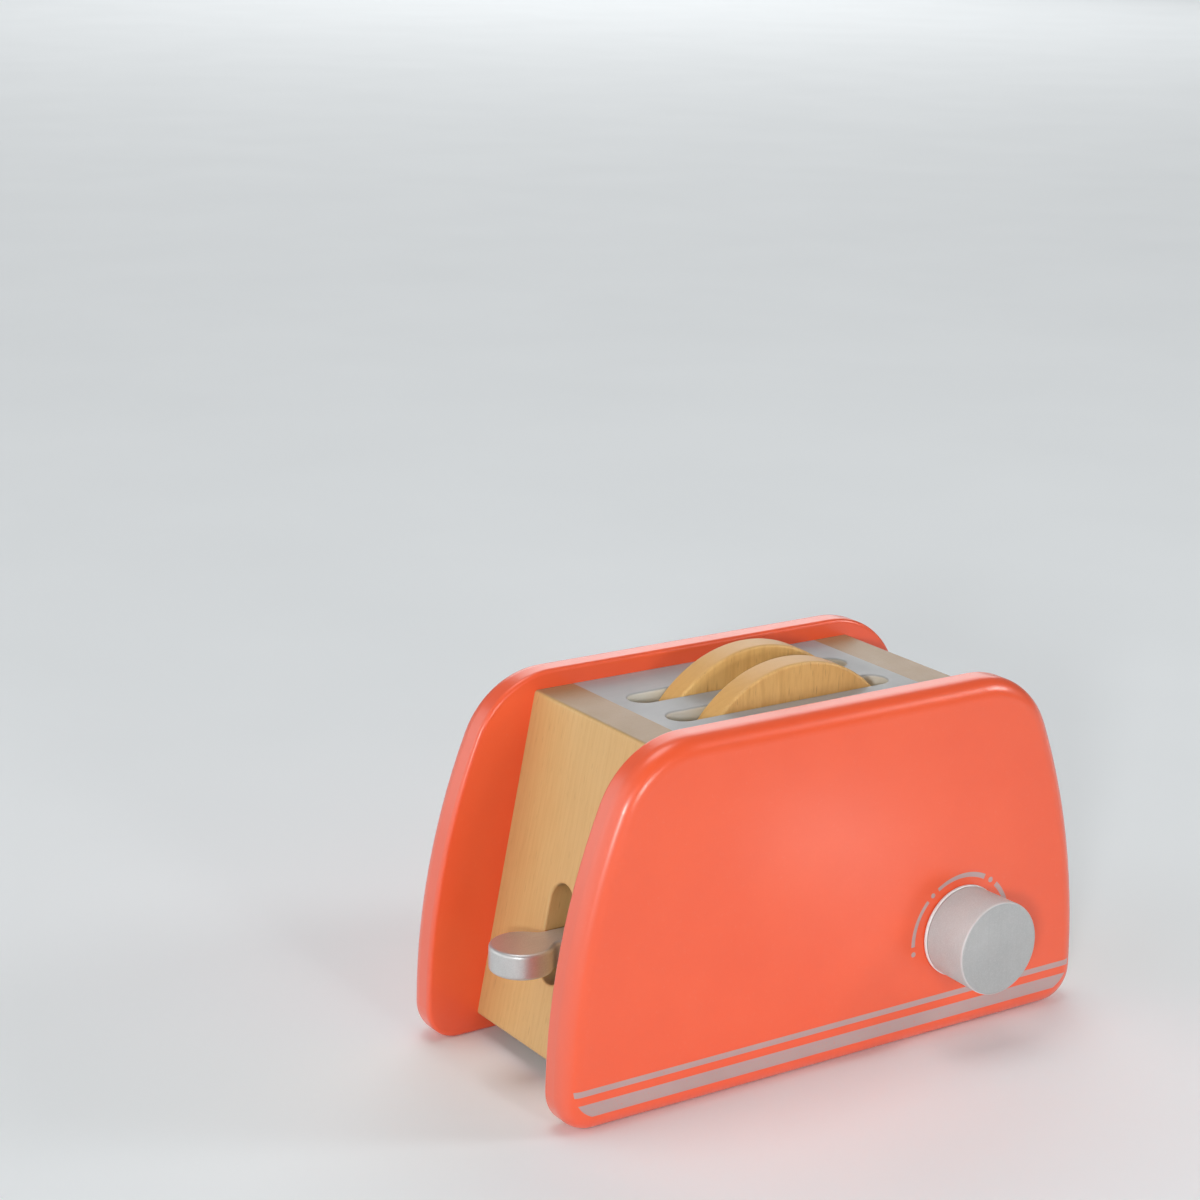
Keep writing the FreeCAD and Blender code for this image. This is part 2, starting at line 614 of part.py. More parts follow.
# ------------------------------------------------------------------ lever, shelf and slices
def lever():
    """Flat bar, level at rest, with the pivot at its own origin and the paddle towards -X.

    Straight shoulders, tangent to the round paddle, narrow it to the arm.
    """
    body = new_body("lever", "-pivot_reach", "middle_y", "lever_height")
    arm = new_sketch(body, "arm", "XY_Plane")
    draw_polygon(arm, [
        ("-paddle_offset", "-lever_width / 2"),
        ("lift_arm + lever_tip", "-lever_width / 2"),
        ("lift_arm + lever_tip", "lever_width / 2"),
        ("-paddle_offset", "lever_width / 2"),
    ])
    pad(body, arm, "lever_thick", middle=True)
    shoulders = new_sketch(body, "shoulders", "XY_Plane")
    draw_polygon(shoulders, [
        ("shoulder_wide_end", "-shoulder_half_width"),
        ("shoulder_arm_end", "-lever_width / 2"),
        ("shoulder_arm_end", "lever_width / 2"),
        ("shoulder_wide_end", "shoulder_half_width"),
    ])
    pad(body, shoulders, "lever_thick", middle=True)
    paddle = new_sketch(body, "paddle", "XY_Plane")
    draw_circle(paddle, "2 * paddle_radius", "-paddle_offset", "0")
    pad(body, paddle, "lever_thick", middle=True)

    def upright(edge):
        return near(edge.BoundBox.XLength, 0) and near(edge.BoundBox.YLength, 0)

    half_width, half_thick = number("lever_width / 2"), number("lever_thick / 2")
    round_edges(body, "neck_radius", lambda edge: upright(edge) and edge.BoundBox.XMin < 0
                and near(abs(edge.BoundBox.YMin), half_width))
    round_edges(body, "lever_tip_round", lambda edge: upright(edge) and edge.BoundBox.XMin > 0)
    round_edges(body, "lever_round", lambda edge: lies_at(edge, z=half_thick)
                or lies_at(edge, z=-half_thick))
    pin_bore = new_sketch(body, "pin_bore", "XZ_Plane")
    draw_circle(pin_bore, "pin_dia + 2 * running_gap")
    cut(body, pin_bore, both_ways=True)
    bar_bore = new_sketch(body, "bar_bore", "XZ_Plane")
    draw_circle(bar_bore, "lift_bar_dia + 2 * glue_gap", "lift_arm", "0")
    cut(body, bar_bore, both_ways=True)
    return body


def toast_shelf():
    """Grooved board with its underside at z = 0, guided by the two rods."""
    body = new_body("toast_shelf", "toast_shift", "middle_y", "shelf_bottom")
    outline = new_sketch(body, "outline", "XY_Plane")
    draw_rectangle(outline, "shelf_length", "shelf_width")
    pad(body, outline, "shelf_thick")
    round_edges(body, "shelf_corner", lambda edge: near(edge.BoundBox.XLength, 0)
                and near(edge.BoundBox.YLength, 0))
    grooves = new_sketch(body, "grooves", "XY_Plane", "shelf_thick - groove_depth")
    for across in ("-", ""):
        draw_rectangle(grooves, "shelf_length + 2 * cut_overrun", "groove_width",
                       y=f"{across}toast_pitch / 2")
    cut(body, grooves, 1)
    notch = new_sketch(body, "notch", "XY_Plane", "notch_depth")
    draw_rectangle(notch, "shelf_length + 2 * cut_overrun", "notch_width")
    cut(body, notch, -1)
    holes = new_sketch(body, "rod_holes", "XY_Plane")
    for across in ("-", ""):
        draw_circle(holes, "rod_dia + 2 * running_gap", "0", f"{across}rod_pitch / 2")
    cut(body, holes, 1)
    return body


def toast(label, across):
    """A slice with an arched crown and rounded shoulders, standing on z = 0."""
    body = new_body(label, "toast_shift", f"middle_y {across} toast_pitch / 2", "shelf_floor")
    outline = new_sketch(body, "outline", "XZ_Plane")
    half, height, radius = number("toast_width / 2"), number("toast_height"), number("toast_crown_radius")
    crown_middle = height - radius
    spread = math.acos(half / radius)
    shoulder = crown_middle + radius * math.sin(spread)
    outline.addGeometry([
        Part.LineSegment(vector(-half, 0), vector(half, 0)),
        Part.LineSegment(vector(half, 0), vector(half, shoulder)),
        arc(0, crown_middle, radius, spread, math.pi - spread),
        Part.LineSegment(vector(-half, shoulder), vector(-half, 0)),
    ], False)
    foot, right, crown, left = range(4)
    for line in range(4):
        constrain(outline, "Coincident", line, 2, (line + 1) % 4, 1)
    constrain(outline, "Horizontal", foot)
    constrain(outline, "Vertical", right)
    constrain(outline, "Vertical", left)
    hold_point(outline, foot, 1, "-toast_width / 2", "0")
    dimension(outline, "DistanceX", foot, 1, foot, 2, formula="toast_width")
    dimension(outline, "Radius", crown, formula="toast_crown_radius")
    hold_point(outline, crown, 3, "0", "toast_height - toast_crown_radius")
    pad(body, outline, "toast_thick", middle=True)
    half_thick = number("toast_thick / 2")

    def lies_across(edge):
        return near(edge.BoundBox.XLength, 0) and near(edge.BoundBox.ZLength, 0)

    round_edges(body, "toast_foot_radius", lambda edge: lies_across(edge) and near(edge.BoundBox.ZMax, 0))
    round_edges(body, "toast_shoulder_round", lambda edge: lies_across(edge)
                and edge.BoundBox.ZMin > number("toast_height / 2"))
    round_edges(body, "toast_round", lambda edge: lies_at(edge, y=half_thick)
                or lies_at(edge, y=-half_thick))
    return body


# ------------------------------------------------------------------ knob
def knob():
    """Turned knob, its rear face at y = 0 and its face towards -Y."""
    body = new_body("knob", "knob_inset", "knob_axis_y", "knob_height")
    profile = new_sketch(body, "profile", "YZ_Plane")
    draw_polygon(profile, [
        ("0", "0"),
        ("0", "knob_rim_dia / 2"),
        ("-knob_rim_length", "knob_rim_dia / 2"),
        ("-knob_rim_length", "knob_rim_dia / 2 - knob_rim_step"),
        ("-knob_length", "knob_face_dia / 2"),
        ("-knob_length", "0"),
    ])
    turned = body.newObject("PartDesign::Revolution", "knob_turned")
    turned.Profile = profile
    turned.ReferenceAxis = (profile, ["H_Axis"])
    turned.Angle = 360
    doc.recompute()
    length, rim_radius = number("knob_length"), number("knob_rim_dia / 2")
    round_edges(body, "knob_face_round", lambda edge: lies_at(edge, y=-length))
    round_edges(body, "knob_rim_round", lambda edge: isinstance(edge.Curve, Part.Circle)
                and near(edge.Curve.Radius, rim_radius))
    bore = new_sketch(body, "axle_bore", "XZ_Plane", "axle_knob_depth")
    draw_circle(bore, "axle_dia + 2 * glue_gap")
    cut(body, bore, -1)
    return body


def knob_axle():
    """Dowel from inside the knob, through the panel, to the retainer's inner face."""
    body = new_body("knob_axle", "knob_inset", "knob_axis_y", "knob_height")
    section = new_sketch(body, "section", "XZ_Plane", "axle_knob_depth - end_gap")
    draw_circle(section, "axle_dia")
    pad(body, section, "axle_knob_depth - end_gap + 2 * knob_gap + panel_thick + retainer_thick", -1)
    chamfer_edges(body, "dowel_chamfer", lambda edge: isinstance(edge.Curve, Part.Circle))
    return body


def knob_retainer():
    """Ring glued to the dowel inside the panel."""
    body = new_body("knob_retainer", "knob_inset", "front_inner_y + knob_gap", "knob_height")
    section = new_sketch(body, "section", "XZ_Plane")
    draw_circle(section, "retainer_dia")
    draw_circle(section, "axle_dia + 2 * glue_gap")
    pad(body, section, "retainer_thick", -1)
    outer = number("retainer_dia / 2")
    chamfer_edges(body, "retainer_chamfer", lambda edge: isinstance(edge.Curve, Part.Circle)
                  and near(edge.Curve.Radius, outer))
    return body


# ------------------------------------------------------------------ the whole toaster
fill_sheets()
workings = doc.addObject("Spreadsheet::Sheet", "Workings")

nodes = [
    front_panel(),
    side_panel("rear_panel", "rear_inner_y", -1),
    lever_end_board(),
    end_board("plain_end_board", 1),
    top_plate(),
    base_board(),
    end_board_dowels(),
    base_board_dowels(),
    top_plate_dowels(),
    rest_dowel(),
    lever_pivot_pin(),
    lever(),
    lift_bar(),
    guide_rod("front_guide_rod", "-"),
    guide_rod("rear_guide_rod", "+"),
    toast_shelf(),
    toast("front_toast", "-"),
    toast("rear_toast", "+"),
    knob(),
    knob_axle(),
    knob_retainer(),
]

doc.removeObject(workings.Name)
doc.recompute()

for item in doc.Objects:
    if "Invalid" in item.State or "Error" in item.State:
        raise RuntimeError(f"{item.Name} failed: {item.State}")
for node in nodes:
    if node.Shape.isNull() or not node.Shape.isValid():
        raise RuntimeError(f"{node.Label} has no valid shape")

os.makedirs("parts", exist_ok=True)
for node in nodes:
    node.Shape.exportStep(f"parts/{node.Label}.step")
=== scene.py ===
import math

import bpy
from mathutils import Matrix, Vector


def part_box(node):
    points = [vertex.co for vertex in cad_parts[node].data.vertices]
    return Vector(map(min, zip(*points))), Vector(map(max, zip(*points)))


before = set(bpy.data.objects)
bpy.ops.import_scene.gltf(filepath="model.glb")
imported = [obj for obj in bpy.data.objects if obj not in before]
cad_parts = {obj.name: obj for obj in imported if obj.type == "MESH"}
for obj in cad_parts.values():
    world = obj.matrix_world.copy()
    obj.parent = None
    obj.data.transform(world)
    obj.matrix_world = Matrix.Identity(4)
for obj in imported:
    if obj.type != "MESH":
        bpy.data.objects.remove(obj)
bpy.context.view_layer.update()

# Toy toaster: paints, woods and printed marks of its nodes, then the floor, the lights and the camera.
# Blender works in metres, and a size written in millimetres is multiplied by MM.
MM = 0.001
X_AXIS, Y_AXIS, Z_AXIS = Vector((1, 0, 0)), Vector((0, 1, 0)), Vector((0, 0, 1))

# Places that the materials refer to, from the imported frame.
FRONT_FACE_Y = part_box("front_panel")[0].y
REAR_FACE_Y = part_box("rear_panel")[1].y
KNOB_LOW, KNOB_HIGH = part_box("knob")
KNOB_X = (KNOB_LOW.x + KNOB_HIGH.x) / 2
KNOB_Z = (KNOB_LOW.z + KNOB_HIGH.z) / 2
KNOB_REAR_Y = KNOB_HIGH.y

# Slant of the end boards, from upright.
END_TOP_REACH = 63.5 * MM     # from the middle to an end board's outer face, at the board's top
END_LOW, END_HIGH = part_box("lever_end_board")
END_TILT = math.atan((-END_LOW.x - END_TOP_REACH) / (END_HIGH.z - END_LOW.z))


# ------------------------------------------------------------------ node graphs
NOISE_SPAN = (0.3, 0.7)       # a noise texture's values mostly lie between these
MIX_COLOURS = slice(6, 8)     # a mix node's two colour inputs, and its colour output
MIX_RESULT = 2


class Graph:
    """A material's node tree, with short calls for the nodes that it uses."""

    def __init__(self, name):
        self.material = bpy.data.materials.new(name)
        self.material.use_nodes = True
        self.tree = self.material.node_tree
        self.shader = self.tree.nodes["Principled BSDF"]
        coords = self.add("ShaderNodeTexCoord")
        self.position = coords.outputs["Object"]
        self.normal = coords.outputs["Normal"]

    def add(self, kind, **settings):
        node = self.tree.nodes.new(kind)
        for key, value in settings.items():
            setattr(node, key, value)
        return node

    def feed(self, socket, value):
        """Links a socket or sets its number; None leaves it as it is."""
        if isinstance(value, bpy.types.NodeSocket):
            self.tree.links.new(value, socket)
        elif value is not None:
            socket.default_value = value

    def feed_all(self, node, values):
        for socket, value in zip(node.inputs, values):
            self.feed(socket, value)

    def math(self, operation, *values):
        node = self.add("ShaderNodeMath", operation=operation)
        self.feed_all(node, values)
        return node.outputs[0]

    def vector(self, operation, *values):
        """Vector maths, whose result is a number for a dot product and a distance."""
        node = self.add("ShaderNodeVectorMath", operation=operation)
        self.feed_all(node, values)
        return node.outputs["Value" if operation in ("DOT_PRODUCT", "DISTANCE") else "Vector"]

    def split(self, vector):
        node = self.add("ShaderNodeSeparateXYZ")
        self.feed_all(node, (vector,))
        return node.outputs[0], node.outputs[1], node.outputs[2]

    def join(self, x, y, z):
        node = self.add("ShaderNodeCombineXYZ")
        self.feed_all(node, (x, y, z))
        return node.outputs[0]

    def apart(self, a, b):
        """Distance between two numbers."""
        return self.math("ABSOLUTE", self.math("SUBTRACT", a, b))

    def length(self, a, b):
        """Length of the flat vector (a, b)."""
        squares = self.math("MULTIPLY", a, a), self.math("MULTIPLY", b, b)
        return self.math("SQRT", self.math("ADD", *squares))

    def facing(self, direction):
        """1 where the surface faces along a direction or against it, 0 where it runs along it."""
        return self.math("ABSOLUTE", self.vector("DOT_PRODUCT", self.normal, tuple(direction)))

    def remap(self, value, low, high, to_low=0.0, to_high=1.0):
        """Straight-line change of range, held at both ends."""
        node = self.add("ShaderNodeMapRange")
        self.feed_all(node, (value, low, high, to_low, to_high))
        return node.outputs["Result"]

    def noise(self, place, scale=1.0, detail=2.0, roughness=0.5):
        """Noise whose scale is in features per metre: one number, or one for each axis."""
        if isinstance(scale, tuple):
            place, scale = self.vector("MULTIPLY", place, scale), 1.0
        node = self.add("ShaderNodeTexNoise")
        inputs = {"Vector": place, "Scale": scale, "Detail": detail, "Roughness": roughness}
        for name, value in inputs.items():
            self.feed(node.inputs[name], value)
        return node.outputs["Fac"]

    def level(self, noise, low=0.0, high=1.0):
        """Noise spread out between two values."""
        return self.remap(noise, *NOISE_SPAN, low, high)

    def ramp(self, value, *stops):
        """Eased ramp through (place, colour) stops; a colour may be a single number."""
        node = self.add("ShaderNodeValToRGB")
        node.color_ramp.interpolation = "EASE"
        elements = node.color_ramp.elements
        while len(elements) < len(stops):
            elements.new(0.5)
        for element, (place, colour) in zip(elements, stops):
            element.position = place
            element.color = (*colour, 1) if isinstance(colour, tuple) else (colour,) * 3 + (1,)
        self.feed_all(node, (value,))
        return node.outputs["Color"]

    def mix(self, share, a, b, blend="MIX"):
        """Mix of two colours, each a socket or three numbers."""
        node = self.add("ShaderNodeMix", data_type="RGBA", blend_type=blend)
        self.feed(node.inputs["Factor"], share)
        for socket, colour in zip(node.inputs[MIX_COLOURS], (a, b)):
            self.feed(socket, (*colour, 1) if isinstance(colour, tuple) else colour)
        return node.outputs[MIX_RESULT]

    def bump(self, height, distance, strength, before=None):
        """Bump on the plain surface, or on the bump before it."""
        node = self.add("ShaderNodeBump")
        inputs = {"Strength": strength, "Distance": distance, "Height": height, "Normal": before}
        for name, value in inputs.items():
            self.feed(node.inputs[name], value)
        return node.outputs[0]

    def finish(self, colour, roughness, normal=None, **constants):
        """Feeds the shader, whose other sockets are named in constants, and returns the material."""
        inputs = {"Base Color": colour, "Roughness": roughness, "Normal": normal}
        inputs.update({name.replace("_", " "): value for name, value in constants.items()})
        for name, value in inputs.items():
            self.feed(self.shader.inputs[name], value)
        return self.material


# ------------------------------------------------------------------ printed marks
EDGE = 0.06 * MM                           # half the softness of a printed edge

STRIPES = ((6.0, 10.45), (13.2, 15.2))     # lowest and highest edge of each stripe, mm
STRIPE_END_X, STRIPE_END_Z = 88.7, 16.0    # middle of the arc that ends both stripes, mm
STRIPE_END_RADIUS = 10.9                   # mm

# Ring round the knob: angles are in degrees from straight up, clockwise, and the rest is in mm.
DIAL_SHIFT_X, DIAL_SHIFT_Z = 0.3, -1.25    # the ring's middle from the knob's axis
DIAL_RADIUS = 20.0
DIAL_ARCS = ((-92.5, -46.5), (-31.5, 27.0), (43.9, 86.7))              # first and last angle
DIAL_DOTS = ((-100.0, 1.8), (-39.2, 1.7), (35.8, 1.9), (94.5, 1.7))    # angle and diameter
DIAL_WIDTHS = ((-100, 1.5), (-42, 1.25), (30, 1.75), (95, 1.4))        # angle and the line's width
WIDEST = 4.0                               # a colour ramp ends at 1, which stands for this width


def under(graph, value, limit):
    """1 where a value is under its limit, with a soft edge."""
    return graph.remap(value, limit - EDGE, limit + EDGE, 1.0, 0.0)


def band(graph, value, low, high):
    """1 between two limits, with soft edges."""
    over_low = graph.remap(value, low - EDGE, low + EDGE)
    return graph.math("MULTIPLY", over_low, under(graph, value, high))


def union(graph, masks):
    """1 where any of the masks is 1."""
    joined = masks[0]
    for mask in masks[1:]:
        joined = graph.math("MAXIMUM", joined, mask)
    return joined


def stripes_mask(graph, x, z):
    """Two level stripes whose ends follow the panel's rounded corners."""
    past_middle = graph.math("SUBTRACT", graph.math("ABSOLUTE", x), STRIPE_END_X * MM)
    past_middle = graph.math("MAXIMUM", past_middle, 0.0)
    reach = graph.length(past_middle, graph.math("SUBTRACT", z, STRIPE_END_Z * MM))
    lines = [band(graph, z, low * MM, high * MM) for low, high in STRIPES]
    return graph.math("MULTIPLY", union(graph, lines), under(graph, reach, STRIPE_END_RADIUS * MM))


def dial_width(graph, turn):
    """Half the width of the ring's line, which changes along the ring."""
    first, last = DIAL_WIDTHS[0][0], DIAL_WIDTHS[-1][0]
    share = graph.remap(turn, math.radians(first), math.radians(last))
    stops = [((angle - first) / (last - first), width / WIDEST) for angle, width in DIAL_WIDTHS]
    return graph.math("MULTIPLY", graph.ramp(share, *stops), WIDEST / 2 * MM)


def dial_mask(graph, x, z):
    """Broken ring of arcs and dots round the knob."""
    ring_x = graph.math("SUBTRACT", x, KNOB_X + DIAL_SHIFT_X * MM)
    ring_z = graph.math("SUBTRACT", z, KNOB_Z + DIAL_SHIFT_Z * MM)
    turn = graph.math("ARCTAN2", ring_x, ring_z)
    off_ring = graph.apart(graph.length(ring_x, ring_z), DIAL_RADIUS * MM)
    on_ring = under(graph, graph.math("SUBTRACT", off_ring, dial_width(graph, turn)), 0.0)
    marks = []
    for start, end in DIAL_ARCS:
        middle, half = math.radians((start + end) / 2), math.radians((end - start) / 2)
        past_end = graph.math("SUBTRACT", graph.apart(turn, middle), half)
        past_end = graph.math("MULTIPLY", past_end, DIAL_RADIUS * MM)
        marks.append(graph.math("MULTIPLY", on_ring, under(graph, past_end, 0.0)))
    place = graph.join(ring_x, 0.0, ring_z)
    for angle, diameter in DIAL_DOTS:
        turned = math.radians(angle)
        dot = (DIAL_RADIUS * MM * math.sin(turned), 0.0, DIAL_RADIUS * MM * math.cos(turned))
        marks.append(under(graph, graph.vector("DISTANCE", place, dot), diameter / 2 * MM))
    return union(graph, marks)


# ------------------------------------------------------------------ paints
# A pair of colours is the darker and the lighter tone of a paint, which is slightly clouded.
RED = ((0.93, 0.106, 0.030), (0.96, 0.117, 0.034))
# painted sheen: paler, less saturated red on the panels' rounded ends, standing in for the reflection
# there
RED_EDGE_PAINTED_SHEEN = (0.83, 0.127, 0.064)
RED_SPECK = (0.90, 0.28, 0.19)
INK = ((0.475, 0.328, 0.315), (0.525, 0.363, 0.35))
INK_DEPTH = 3.5 * MM          # ink is kept within this of the outer face, so off the inner one

GREY = ((0.375, 0.383, 0.387), (0.425, 0.434, 0.438))
GREY_GRAIN = (0.32, 0.325, 0.32)
# painted light: pale yellowish grey on the slots' walls, which lie in shade
SLOT_WALL_PAINTED_LIGHT = (0.80, 0.80, 0.72)

LEVER_SILVER = (0.60, 0.60, 0.595)
KNOB_SILVER = (0.406, 0.414, 0.414)
KNOB_SIDE_PAINTED_LIGHT = (1.36, 1.72, 1.76)        # painted light: how much paler and less pink the knob's side is painted than its face
# painted highlight on the rounded edge of the knob's face
KNOB_EDGE_PAINTED_HIGHLIGHT = (0.72, 0.74, 0.74)
# painted highlight on the knob's rim by the panel
KNOB_RIM_PAINTED_HIGHLIGHT = (0.90, 0.92, 0.92)
KNOB_RIM_HIGHLIGHT_END = (1.1 * MM, 1.3 * MM)        # the painted highlight of the rim fades between these, from the panel
# painted shade: dark line where the rim steps down
KNOB_LINE_PAINTED_SHADE = (0.20, 0.19, 0.19)
KNOB_SHADE_LINE_PLACE = 1.45 * MM                # painted shade line in the crease at the rim's step, from the panel
KNOB_SHADE_LINE_EDGE = (0.1 * MM, 0.3 * MM)      # it fades between these, from its middle


def lacquer_bump(graph, peel_scale):
    """Slight waviness of a sprayed coat, and the finer orange peel on it."""
    waves = graph.noise(graph.position, scale=90.0, detail=1.0)
    swell = graph.bump(waves, distance=0.12 * MM, strength=0.35)
    peel = graph.noise(graph.position, peel_scale, roughness=0.6)
    return graph.bump(peel, distance=0.035 * MM, strength=0.35, before=swell)


def red_paint(name, outer_y, outward, marks):
    """Satin red lacquer, paler on the edge faces as a painted sheen, with marks printed on the outer
    face.

    outer_y is the place of that face, and outward is -1 or 1, the way that it faces along Y.
    """
    graph = Graph(name)
    cloud = graph.level(graph.noise(graph.position, scale=28.0, detail=3.0, roughness=0.55))
    speck = graph.noise(graph.position, scale=900.0, roughness=0.7)
    red = graph.mix(cloud, *RED)
    # painted sheen on the faces that turn towards X, the panels' rounded ends
    red = graph.mix(graph.remap(graph.facing(X_AXIS), 0.45, 0.9), red, RED_EDGE_PAINTED_SHEEN)
    red = graph.mix(graph.remap(speck, 0.62, 0.8, 0.0, 0.12), red, RED_SPECK)
    rough = graph.level(graph.noise(graph.position, scale=60.0, detail=3.0, roughness=0.6), 0.36, 0.41)

    x, y, z = graph.split(graph.position)
    past_face = graph.math("MULTIPLY", graph.math("SUBTRACT", y, outer_y), outward)
    on_face = graph.math("GREATER_THAN", past_face, -INK_DEPTH)
    gaps = graph.noise(graph.position, scale=1500.0, detail=3.0, roughness=0.7)
    mask = graph.math("MULTIPLY", union(graph, [draw(graph, x, z) for draw in marks]), on_face)
    mask = graph.math("MULTIPLY", mask, graph.remap(gaps, 0.30, 0.42, 0.72, 1.0))
    red = graph.mix(mask, red, graph.mix(cloud, *INK))
    rough = graph.math("ADD", rough, graph.math("MULTIPLY", mask, 0.06))
    bump = graph.bump(mask, distance=0.02 * MM, strength=0.5, before=lacquer_bump(graph, 700.0))
    return graph.finish(red, rough, bump, Specular_IOR_Level=0.5, Coat_Weight=0.7, Coat_Roughness=0.24)


def grey_paint():
    """Satin grey paint on the plate, a little worn, with painted light on the slots' walls, which are
    painted much paler and yellower.
    """
    graph = Graph("grey_paint")
    cloud = graph.level(graph.noise(graph.position, scale=35.0, detail=3.0, roughness=0.6))
    grain = graph.noise(graph.position, scale=(60.0, 1500.0, 1500.0), roughness=0.6)
    wall = graph.math("SUBTRACT", 1.0, graph.facing(Z_AXIS))
    grey = graph.mix(cloud, *GREY)
    grey = graph.mix(graph.remap(grain, 0.45, 0.8, 0.0, 0.25), grey, GREY_GRAIN)
    # painted light: the walls, which face sideways, are turned much paler
    grey = graph.mix(graph.remap(wall, 0.3, 0.9, 0.0, 0.9), grey, SLOT_WALL_PAINTED_LIGHT)
    rough = graph.level(graph.noise(graph.position, scale=120.0, detail=3.0, roughness=0.6), 0.38, 0.50)
    bump = graph.bump(grain, distance=0.03 * MM, strength=0.4, before=lacquer_bump(graph, 500.0))
    return graph.finish(grey, rough, bump, Specular_IOR_Level=0.5)


def knob_painted_light(graph, colour):
    """Painted light on the knob: its side painted paler than its face, painted highlights on the face's
    rounded edge and on the rim, and a painted shade line where the rim steps down.
    """
    from_panel = graph.math("SUBTRACT", KNOB_REAR_Y, graph.split(graph.position)[1])
    side = graph.math("SUBTRACT", 1.0, graph.facing(Y_AXIS))
    # painted highlight where the face rounds into the side
    edge_highlight = graph.ramp(side, (0.10, 0.0), (0.35, 0.7), (0.75, 0.7), (0.92, 0.0))
    # painted shade line in the crease at the rim's step
    groove_shade = graph.remap(graph.apart(from_panel, KNOB_SHADE_LINE_PLACE), *KNOB_SHADE_LINE_EDGE, 0.6, 0.0)
    # painted highlight on the rim by the panel
    rim_highlight = graph.remap(from_panel, *KNOB_RIM_HIGHLIGHT_END, 0.9, 0.0)
    # painted light: the side is painted paler than the face
    colour = graph.mix(graph.remap(side, 0.5, 0.95), colour, KNOB_SIDE_PAINTED_LIGHT, "MULTIPLY")
    colour = graph.mix(edge_highlight, colour, KNOB_EDGE_PAINTED_HIGHLIGHT)
    colour = graph.mix(groove_shade, colour, KNOB_LINE_PAINTED_SHADE)
    return graph.mix(rim_highlight, colour, KNOB_RIM_PAINTED_HIGHLIGHT)


def silver_paint(name, tone, grain_scale, metallic, rough, zones=None):
    """Metallic silver paint over wood: fine flakes, and the grain just showing through.

    rough is the roughness between the flakes and on them, and zones may change the colour by place.
    """
    graph = Graph(name)
    dull, bright, flake, furrow = (tuple(share * channel for channel in tone)
                                   for share in (0.92, 1.06, 1.32, 0.7))
    flakes = graph.noise(graph.position, scale=2600.0, roughness=0.8)
    cloud = graph.level(graph.noise(graph.position, scale=55.0, detail=3.0, roughness=0.55))
    grain = graph.noise(graph.position, grain_scale, detail=3.0, roughness=0.6)
    silver = graph.mix(cloud, dull, bright)
    silver = graph.mix(graph.remap(flakes, 0.45, 0.75, 0.0, 0.45), silver, flake)
    silver = graph.mix(graph.remap(grain, 0.5, 0.8, 0.0, 0.2), silver, furrow)
    if zones:
        silver = zones(graph, silver)
    bump = graph.bump(grain, distance=0.03 * MM, strength=0.5, before=lacquer_bump(graph, 800.0))
    return graph.finish(silver, graph.remap(flakes, 0.3, 0.8, *rough), bump,
                        Metallic=metallic, Specular_IOR_Level=0.5)


# ------------------------------------------------------------------ woods
RING_SWAY = 16 * MM           # how far the rings swing in long bends
RING_WAVER = 3 * MM           # how far they waver in short ones

PALE = dict(light=(0.69, 0.45, 0.183), dark=(0.575, 0.33, 0.113), pore=(0.49, 0.285, 0.11),
            end=(0.25, 0.165, 0.10), coat=0.25, contrast=0.5, streaks=(0.38, 1000.0, 50.0))
TOAST = dict(light=(0.86, 0.55, 0.20), dark=(0.66, 0.36, 0.11), pore=(0.42, 0.20, 0.06),
             end=(0.62, 0.36, 0.14), coat=0.2, streaks=(0.55, 850.0, 110.0))
INNER = dict(light=(0.74, 0.52, 0.29), dark=(0.58, 0.36, 0.17), pore=(0.40, 0.24, 0.11),
             end=(0.50, 0.38, 0.24), rough=(0.55, 0.70))
RIND = (0.77, 0.41, 0.12)
RIND_EDGE = (3.4 * MM, 4.3 * MM)           # the rind fades between these, from the middle of a slice


